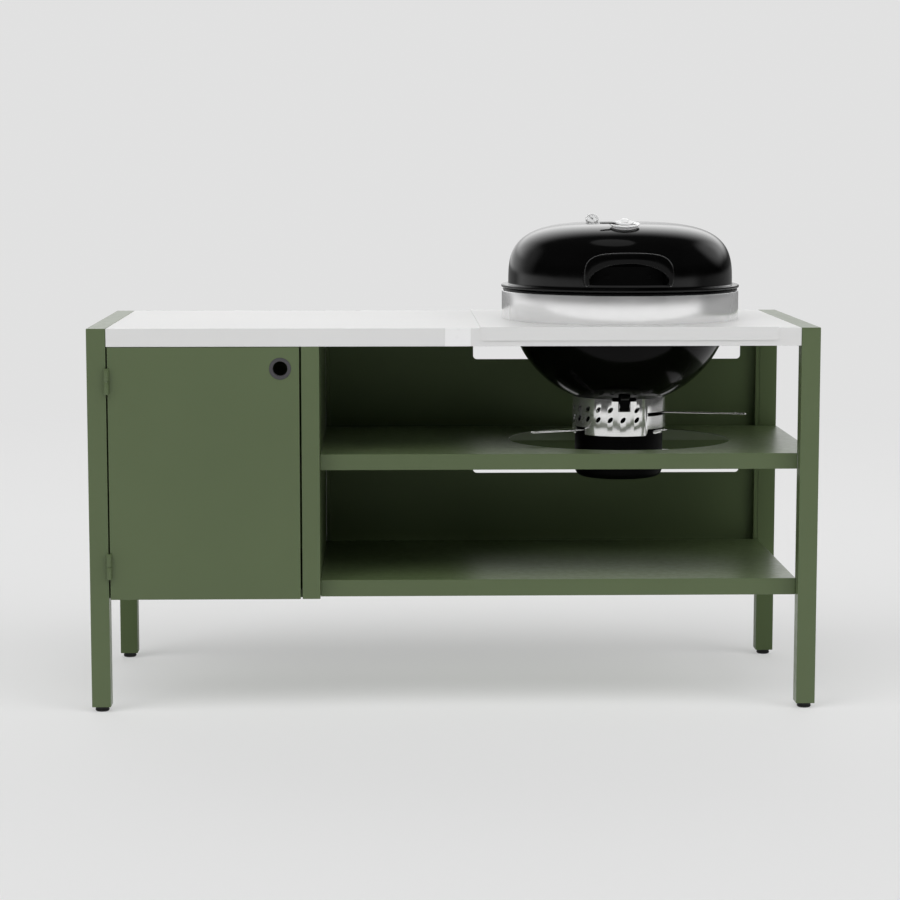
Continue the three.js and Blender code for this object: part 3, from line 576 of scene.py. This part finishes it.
along = [SKIRT_R + 4, SKIRT_R + 9, SKIRT_R + 14, SKIRT_R + 20, SKIRT_R + 25.5]
strap = [(-r, bowl_z(r) - 0.9) for r in along] + [(-r - 1, bowl_z(r) - 3.4) for r in reversed(along)]
strap += [(-SKIRT_R - 4, 683.4), (-SKIRT_R - 1.7, 683.4), (-SKIRT_R - 1.7, bowl_z(SKIRT_R + 1.7) - 1.4)]
for i, angle in enumerate(CLIPS):
    # the strap clips are matt black: painted shade for the grey steel strap inside the skirt's slot; the grey cover
    # strip shows the strap's own steel
    piece(f"strap_clip_{i + 1}", ribbon(strap, 22.6), MATT_BLACK_AND_SLOT_SHADE, "bench", [f"skirt_clip_{i + 1}"],
          AT_KETTLE @ turn(angle + 90), 40)
    cover = [(-r, bowl_z(r) - 3.2) for r in (SKIRT_R + 1, SKIRT_R + 7, SKIRT_R + 13)]
    cover += [(-r - 0.8, bowl_z(r) - 4.0) for r in (SKIRT_R + 13, SKIRT_R + 7, SKIRT_R + 3)]
    cover += [(-SKIRT_R - 4.4, 705.5), (-SKIRT_R - 3.6, 705.5)]
    piece(f"strap_cover_{i + 1}", ribbon(cover, 19.5, 0.2), STRAP, "bench", [],
          AT_KETTLE @ turn(angle + 90), 40)

# ---------------------------------------------------------------- ash pan, handle and latch
low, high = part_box("ash_pan")
PAN_LOW, PAN_HIGH, PAN_R = low.z / MM, high.z / MM, 107.6
PAN_SHEET = 1.8
pan = [(0, PAN_LOW), (PAN_R, PAN_LOW), (PAN_R, PAN_HIGH), (PAN_R - PAN_SHEET, PAN_HIGH),
       (PAN_R - PAN_SHEET, PAN_LOW + PAN_SHEET), (0, PAN_LOW + PAN_SHEET)]
pan = spin(fillet(pan, [0, 24, 0.6, 0.6, 22, 0], 10, closed=False), 160)
piece("ash_pan_bucket", pan, MATT_BLACK_AND_SLOT_SHADE, "ash_catcher", ["ash_pan"], AT_KETTLE, 40)
grip = fillet([(0, -4), (32, -4), (39, -12.8), (149.5, -12.8), (155.5, 10.8), (39, 12.8), (32, 4), (0, 4)],
              [0, 6, 6, 3, 3, 6, 6, 0], 4)
grip = soften(prism(grip, 631.1, 633.9), 0.7, 2, 50)
hole = prism(fillet([(128, -5), (140, -5), (140, 5), (128, 5)], 4.5, 5), 620, 640)
grip = moved(carve(grip, hole), shift(-84.5, -57.4, 0) @ turn(203.6))
grip = carve(grip, spin([(0, 600), (108.2, 600), (108.2, 660), (0, 660)], 96))
piece("ash_pan_grip", grip, STEEL, "ash_catcher", ["ash_pan_handle"], AT_KETTLE, 40)
tab = soften(prism(fillet([(104, -13), (127, -13), (130, 9), (104, 9)], [0, 4, 4, 0], 4), 631.4, 633.4), 0.5, 2, 50)
lip_plate = soften(block(104, 111.4, -25.8, 13.8, 623.2, 632.2), 2.0, 3, 50)
latch = carve(moved(together(tab, lip_plate), turn(-32)), spin([(0, 600), (108.3, 600), (108.3, 660), (0, 660)], 96))
piece("ash_pan_tongue", latch, STEEL, "ash_catcher", ["ash_pan_latch"], AT_KETTLE, 40)

# ---------------------------------------------------------------- lid
LID_A, LID_B, LID_Z, PR, PZ = 273, 152, 984, 3.5, 3.3


def lid_z(r, grow=0.0):
    a, b = LID_A + grow, LID_B + grow
    return LID_Z + b * (1 - min(1, r / a) ** PR) ** (1 / PZ)


def lid_curve(inset, count=56):
    points = []
    for i in range(1, count + 1):
        angle = i / count * math.pi / 2
        points.append(((LID_A - inset) * math.cos(angle) ** (2 / PR),
                       LID_Z + (LID_B - inset) * math.sin(angle) ** (2 / PZ)))
    points[-1] = (0, points[-1][1])
    return [p for p in points if p[1] > LID_Z + 4]


rim = fillet([(270.4, 987.5), (270.4, 977.7), (289.9, 977.7), (289.9, 985.4), (273, 985.4), (273, 992)],
             [0, 1.6, 3.6, 3.4, 3.5, 0], 8, closed=False)
shell = spin([*reversed(lid_curve(2.5)), *rim, *lid_curve(0)], 192)
VENT_R = 160
VENT_SLOPE = math.atan((lid_z(VENT_R - 20) - lid_z(VENT_R + 20)) / 40)
AT_VENT = shift(0, -VENT_R, lid_z(VENT_R)) @ Matrix.Rotation(VENT_SLOPE, 4, "X")
DIAL_X, DIAL_Y, DIAL_Z, DIAL_TILT = -69, -6, 1146, 36.87
DIAL_AT = shift(DIAL_X, DIAL_Y, DIAL_Z) @ turn(DIAL_TILT, "X")


def vent_holes(z0, z1):
    hole = spin([(0, z0), (7, z0), (7, z1), (0, z1)], 32)
    return [moved(hole.copy(), turn(a) @ shift(24, 0, 0)) for a in (90, 210, 330)]


holes = [moved(h, AT_VENT) for h in vent_holes(-20, 20)]
probe = spin([(0, 1080), (4, 1080), (4, 1150), (0, 1150)], 24)
shell = carve(shell, *holes, moved(probe, shift(DIAL_X, DIAL_Y, 0)))
piece("lid_dome", shell, ENAMEL, "lid", ["lid_shell"], AT_LID, 40)

lid_block = [(0, 924), (LID_A + 0.4, 924), (LID_A + 0.4, 985), *[(r + 0.4 * (r > 0), z + 0.4) for r, z in lid_curve(0)]]


def off_lid(bm):
    return carve(bm, spin(lid_block, 128))


def placed_on_vent():
    return AT_LID @ Matrix.Translation(AT_VENT.to_translation() * MM) @ Matrix.Rotation(VENT_SLOPE, 4, "X")


def placed_on_dial():
    return AT_LID @ Matrix.Translation(DIAL_AT.to_translation() * MM) @ turn(DIAL_TILT, "X")


# damper: base, turning disc with a rolled edge, thumb tab, and a raised hub with a slot
base = spin(fillet([(0, -6), (32, -6), (32, 4.4), (0, 4.4)], [0, 0, 1.6, 0], 4, closed=False), 96)
base = off_lid(moved(carve(base, *vent_holes(-20, 20)), AT_VENT))
piece("damper_base", base, CAST, "lid", ["vent_base"], AT_LID, 35)
disc_profile = [(3.7, 5.6), (9, 5.6), (12, 4.9), (33, 4.9), (36, 4.9),
                (36, 7.5), (33, 7.5), (12, 7.0), (9, 7.6), (3.7, 7.6)]
plate = spin(fillet(disc_profile, [0.2, 1, 1, 0, 1.1, 1.1, 1, 1, 1, 0.2], 4), 96, closed=True)
plate = carve(plate, *vent_holes(0, 20))
piece("damper_disc", plate, CAST, "lid_damper", ["vent_disc"], placed_on_vent(), 35)
thumb = [(-59.6, -4.5), (-52, -6.5), (-20, -6.5), (-20, 6.5), (-52, 6.5), (-59.6, 4.5)]
thumb = prism(fillet(thumb, [2.5, 3, 0, 0, 3, 2.5], 4), 8.1, 10.3)
thumb = carve(soften(thumb, 0.7, 2, 50), spin([(0, 0), (22.6, 0), (22.6, 20), (0, 20)], 64))
piece("damper_tab", thumb, PLASTIC, "lid_damper", ["vent_tab"], placed_on_vent(), 40)
knob = [(0, 4.9), (3.2, 4.9), (3.2, 8.1), (20.6, 8.1), (21.9, 10), (20, 12.6), (12.5, 14), (9.5, 17), (6, 18.8),
        (0, 18.9)]
knob = spin(fillet(knob, [0, 0, 0.4, 0.8, 1.2, 2, 2.5, 2, 2, 0], 4, closed=False), 96)
slot_cut = prism(fillet([(-7, -19.5), (7, -19.5), (7, -13.6), (-7, -13.6)], 2.6, 5), 9.5, 30)
knob = carve(knob, slot_cut)
piece("damper_hub", knob, CAST, "lid", ["vent_hub"], placed_on_vent(), 35)

# thermometer: case with a rolled bezel, dial with plain marks, glass and needle
case = spin(fillet([(1.7, -9), (12, -9), (15.9, -6), (15.9, 0), (13.6, 0), (13.6, -3.2), (1.7, -3.2)],
                   [0.2, 1.5, 1.5, 1.1, 0.9, 0.3, 0.2], 5), 72, closed=True)
case = off_lid(moved(case, DIAL_AT))
piece("dial_case", case, CAST, "lid", ["thermometer_case"], AT_LID, 35)
face = spin([(1.7, -3.1), (13.4, -3.1), (13.4, -2.9), (1.7, -2.9)], 64, closed=True)
piece("dial_face", face, DIAL, "lid", [], placed_on_dial(), 30)
ticks = [moved(block(-0.25, 0.25, 10.2, 12.6, -2.88, -2.8), turn(a)) for a in range(-120, 121, 30)]
piece("dial_marks", together(*ticks), PLASTIC, "lid", [], placed_on_dial(), 30)
pane = [(0, -1.2), (13.5, -1.2), (13.5, -0.5), (6, -0.25), (0, -0.2)]
pane = spin(fillet(pane, [0, 0.2, 0.2, 2, 0], 3, closed=False), 64)
piece("dial_glass", pane, GLASS, "lid", ["thermometer_glass"], placed_on_dial(), 60)
pointer = prism(fillet([(-0.9, -4), (0.9, -4), (0.35, 11), (-0.35, 11)], 0.2, 2), -2.4, -1.9)
boss = spin(fillet([(0, -2.45), (1.7, -2.45), (1.7, -1.8), (0, -1.7)], [0, 0.2, 0.2, 0], 3, closed=False), 32)
stem = spin([(0, -9.5), (1.1, -9.5), (1.1, -2.2), (0, -2.2)], 20)
needle = moved(together(pointer, boss, stem), turn(35))
piece("dial_pointer", needle, PLASTIC, "dial_needle", ["thermometer_needle"], placed_on_dial(), 40)

# lid handle: one moulded arch. Sections run from the left foot, round the front, to the right foot.
HALF, TIP_Z = 106.0, 1013.0


def arch_section(angle, y_front=-337.0, y_back=-313.5):
    """Corners of the band at an angle: outer front, outer back, inner back, inner front."""
    c, s = math.cos(angle), math.sin(angle)
    outer_x = HALF * math.copysign(abs(c) ** 0.50, c)
    outer_z = TIP_Z + 62.0 * s ** 0.66
    inner_x = 95.0 * c
    inner_z = 994 + 51.0 * s ** 0.9
    lean = 2.5 * s
    return [(outer_x, y_front + 3.5, outer_z), (outer_x, y_back, outer_z - 1.5), (inner_x, y_back + 1, inner_z + 2),
            (inner_x, y_front - lean + 1.5, inner_z)]


def foot_sections(side):
    x0, x1 = side * HALF, side * 89.0
    rings = []
    for y, top, bottom in ((-246, 1033, 992), (-262, 1034, 991), (-284, 1035, 991), (-302, 1036, 991)):
        rings.append([(x0, y, bottom), (x0, y, top), (x1, y, top), (x1, y, bottom)])
    rings.append([(x0, -333, 990.6), (x0, -315, 1034), (x1, -315, 1032), (x1, -333, 990.6)])
    return rings


angles = [math.radians(a) for a in (166, 154, 140, 124, 107, 90, 73, 56, 40, 26, 14)]
handle = loft(foot_sections(-1) + [arch_section(a) for a in angles] + list(reversed(foot_sections(1))))
handle_mesh = scratch(handle)
smoother = handle_mesh.modifiers.new("subdivide", "SUBSURF")
smoother.levels = smoother.render_levels = 3
bpy.context.view_layer.update()
handle = bmesh.new()
handle.from_object(handle_mesh, bpy.context.evaluated_depsgraph_get())
bpy.data.objects.remove(handle_mesh)
handle = off_lid(handle)
piece("lid_grip", handle, PLASTIC, "lid", ["lid_handle"], AT_LID, 50)

# heat shield behind the handle
shield_arc = [math.radians(a) for a in range(-17, 18)]
sections = []
for a in shield_arc:
    x, y = math.sin(a), -math.cos(a)
    sections.append([(279.2 * x, 279.2 * y, 994.3), (280.6 * x, 280.6 * y, 994.3), (280.6 * x, 280.6 * y, 1037.7),
                     (279.2 * x, 279.2 * y, 1037.7)])
shield = soften(loft(sections), 0.4, 1, 50)
pads = [block(x - 6, x + 6, -278, -238, 1010.4, 1021.6, 1.5) for x in (-50, 50)]
shield = together(shield, *[off_lid(p) for p in pads])
piece("handle_shield", shield, MATT_BLACK_AND_SLOT_SHADE, "lid", ["handle_heat_shield"], AT_LID, 40)

# ---------------------------------------------------------------- door furniture
low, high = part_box("finger_pull")
PULL = Matrix.Translation(((low.x + high.x) / 2, FRONT * MM, (low.z + high.z) / 2)) @ turn(90, "X")
pull = spin(fillet([(17, 1.6), (24.2, 1.6), (25.3, 0.9), (25.3, 0.05), (21.7, 0.05), (21.7, -23.9), (17, -23.9)],
                   [1.2, 0.6, 0.4, 0.1, 0.2, 0.5, 0.5], 5), 96, closed=True)
piece("pull_ring", pull, GREY, "door", ["finger_pull"], PULL, 35)

for level in ("lower", "upper"):
    for half, body in (("frame", "bench"), ("door", "door")):
        node = f"{level}_hinge_{half}_half"
        low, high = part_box(node)
        z0, z1 = low.z / MM, high.z / MM
        x, y = (low.x + high.x) / 2 / MM, (low.y + high.y) / 2 / MM
        barrel = spin(fillet([(3.4, z0), (5.95, z0), (5.95, z1), (3.4, z1)], [0.2, 0.7, 0.7, 0.2], 3), 48, closed=True)
        cap = spin([(0, z1 - 3), (3.6, z1 - 3), (3.6, z1 - 0.6), (0, z1 - 0.4)] if half == "door" else
                   [(0, z0 + 0.4), (3.6, z0 + 0.6), (3.6, z0 + 3), (0, z0 + 3)], 32)
        leaf = block(-5.8, -1.1, 3, 5.9, z0 + 0.3, z1 - 0.3, 0.4) if half == "frame" else block(
            2.1, 5.8, 3, 5.9, z0 + 0.3, z1 - 0.3, 0.4)
        piece(f"{level}_hinge_{half}_knuckle", together(barrel, cap, leaf), GREEN, body, [node],
              Matrix.Translation((x * MM, y * MM, 0)), 40)
    carry(f"{level}_hinge_pin", STEEL, 0.4)

# ---------------------------------------------------------------- stage
def emission(name, colour, strength):
    material = bpy.data.materials.new(name)
    material.use_nodes = True
    tree = material.node_tree
    tree.nodes.clear()
    out_node = tree.nodes.new("ShaderNodeOutputMaterial")
    node = tree.nodes.new("ShaderNodeEmission")
    node.inputs["Color"].default_value = (*colour, 1)
    node.inputs["Strength"].default_value = strength
    tree.links.new(node.outputs[0], out_node.inputs["Surface"])
    return material


def stage_mesh(name, bm, material):
    mesh = bpy.data.meshes.new(name)
    bm.to_mesh(mesh)
    bm.free()
    mesh.materials.append(material)
    mesh.polygons.foreach_set("use_smooth", [True] * len(mesh.polygons))
    obj = bpy.data.objects.new(name, mesh)
    bpy.context.scene.collection.objects.link(obj)
    return obj


def studio_floor():
    """A pale floor that glows a little, so that shadows stay soft, and fades far away to the backdrop's shade."""
    n = Nodes("studio_floor")
    n.set(Roughness=0.9, Specular_IOR_Level=0.0, Emission_Color=(1, 1, 1, 1))
    distance = n.tree.nodes.new("ShaderNodeVectorMath")
    distance.operation = "LENGTH"
    n.link(n.coordinates, distance.inputs[0])
    far = n.spread(distance.outputs["Value"], 0, 1, 3.2, NEAR)
    n.link(n.colours(far, (FLOOR_PAINT,) * 3, (0, 0, 0)), n.shader.inputs["Base Color"])
    n.link(n.spread(far, FLOOR_GLOW, BACKDROP, 0, 1), n.shader.inputs["Emission Strength"])
    return n.material


BACKDROP = 0.755
FLOOR_PAINT, FLOOR_GLOW = 0.48, 0.36
NEAR, FAR = 6.5, 70
JUST_BELOW = -0.0005
backdrop_light = emission("backdrop_light", (BACKDROP,) * 3, 1.0)
floor = bmesh.new()
bmesh.ops.create_circle(floor, cap_ends=True, segments=96, radius=NEAR)
stage_mesh("floor", floor, studio_floor()).location.z = JUST_BELOW
ring = spin([(NEAR, 0), (FAR, 0)], 96)
far_floor = stage_mesh("far_floor", ring, backdrop_light)
far_floor.location.z = JUST_BELOW
far_floor.visible_diffuse = far_floor.visible_glossy = False

dome = bmesh.new()
bmesh.ops.create_uvsphere(dome, u_segments=48, v_segments=24, radius=68)
dome = stage_mesh("backdrop", dome, backdrop_light)
for flag in ("visible_diffuse", "visible_glossy", "visible_transmission", "visible_shadow", "visible_volume_scatter"):
    setattr(dome, flag, False)

# room: dark, with a broad bright patch behind, a soft glow on each side and the pale ground in front
world = bpy.data.worlds.new("studio")
bpy.context.scene.world = world
world.use_nodes = True
tree = world.node_tree
direction = tree.nodes.new("ShaderNodeTexCoord").outputs["Generated"]


def towards(azimuth, elevation):
    """A direction in the room. azimuth 0 is the front, and positive is towards +X."""
    a, e = math.radians(azimuth), math.radians(elevation)
    return Vector((math.sin(a) * math.cos(e), -math.cos(a) * math.cos(e), math.sin(e)))


def fade(vector, low, high, first, last):
    """Goes smoothly from first to last as a direction turns towards vector."""
    dot = tree.nodes.new("ShaderNodeVectorMath")
    dot.operation = "DOT_PRODUCT"
    tree.links.new(direction, dot.inputs[0])
    dot.inputs[1].default_value = vector
    node = tree.nodes.new("ShaderNodeMapRange")
    node.interpolation_type = "SMOOTHSTEP"
    for name, number in (("From Min", low), ("From Max", high), ("To Min", first), ("To Max", last)):
        node.inputs[name].default_value = number
    tree.links.new(dot.outputs["Value"], node.inputs["Value"])
    return node.outputs["Result"]


def combine(operation, a, b):
    node = tree.nodes.new("ShaderNodeMath")
    node.operation = operation
    for value, socket in zip((a, b), node.inputs):
        tree.links.new(value, socket)
    return node.outputs["Value"]


UP = (0, 0, 1)
behind = fade((0, 1, 0), 0.45, 0.95, 0.04, 1.85)
haze = combine("MAXIMUM", fade((1, 0, 0), 0.05, 0.35, 0.50, 0.05), fade(UP, 0.05, 0.28, 0, 1))
glows = combine("ADD", fade(towards(121, 24), 0.93, 0.995, 0, 0.75), fade(towards(-125, 16), 0.90, 0.99, 0, 0.30))
sky = combine("ADD", combine("MULTIPLY", behind, haze), glows)
ground = fade(towards(-27, 0), -0.42, -0.12, 0.22, 0.92)
below = combine("MULTIPLY", ground, fade(UP, -0.02, 0.02, 1, 0))
above = combine("MULTIPLY", sky, fade(UP, -0.02, 0.02, 0, 1))
room = combine("ADD", below, above)
background = tree.nodes["Background"]
tree.links.new(room, background.inputs["Color"])
background.inputs["Strength"].default_value = 1.0


def lamp(name, kind, **settings):
    data = bpy.data.lights.new(name, kind)
    for key, value in settings.items():
        setattr(data, key, value)
    obj = bpy.data.objects.new(name, data)
    bpy.context.scene.collection.objects.link(obj)
    return obj


def broad_light(name, azimuth, elevation, energy, width):
    """Even light from a wide patch of the room."""
    obj = lamp(name, "SUN", energy=energy, angle=math.radians(width))
    obj.rotation_euler = towards(azimuth, elevation).to_track_quat("Z", "Y").to_euler()
    obj.visible_glossy = False
    return obj


def softbox(name, at, look, size, power):
    """A panel that shows in reflections."""
    obj = lamp(name, "AREA", shape="ELLIPSE", size=size[0], size_y=size[1], energy=power)
    obj.location = at
    obj.rotation_euler = (Vector(look) - Vector(at)).to_track_quat("-Z", "Y").to_euler()
    obj.visible_diffuse = False
    return obj


broad_light("front_high", 0, 64, 1.10, 50)
broad_light("left_key", -56, 38, 0.95, 45)
broad_light("right_key", 60, 32, 0.85, 45)
softbox("top_panel", (0.05, -0.1, 6.0), (0.4, 0, 1.0), (2.6, 2.2), 7)

# ---------------------------------------------------------------- camera
camera_data = bpy.data.cameras.new("camera")
camera_data.lens = 99.48
camera_data.sensor_width = 36
camera_data.clip_end = 200
camera = bpy.data.objects.new("camera", camera_data)
camera.location = (-0.1638, -6.0742, 1.2912)
camera.rotation_euler = (math.radians(90 - 6.7029), 0, -0.0266)
bpy.context.scene.collection.objects.link(camera)
bpy.context.scene.camera = camera
bpy.context.scene.view_settings.view_transform = "Standard"
bpy.context.scene.view_settings.look = "None"
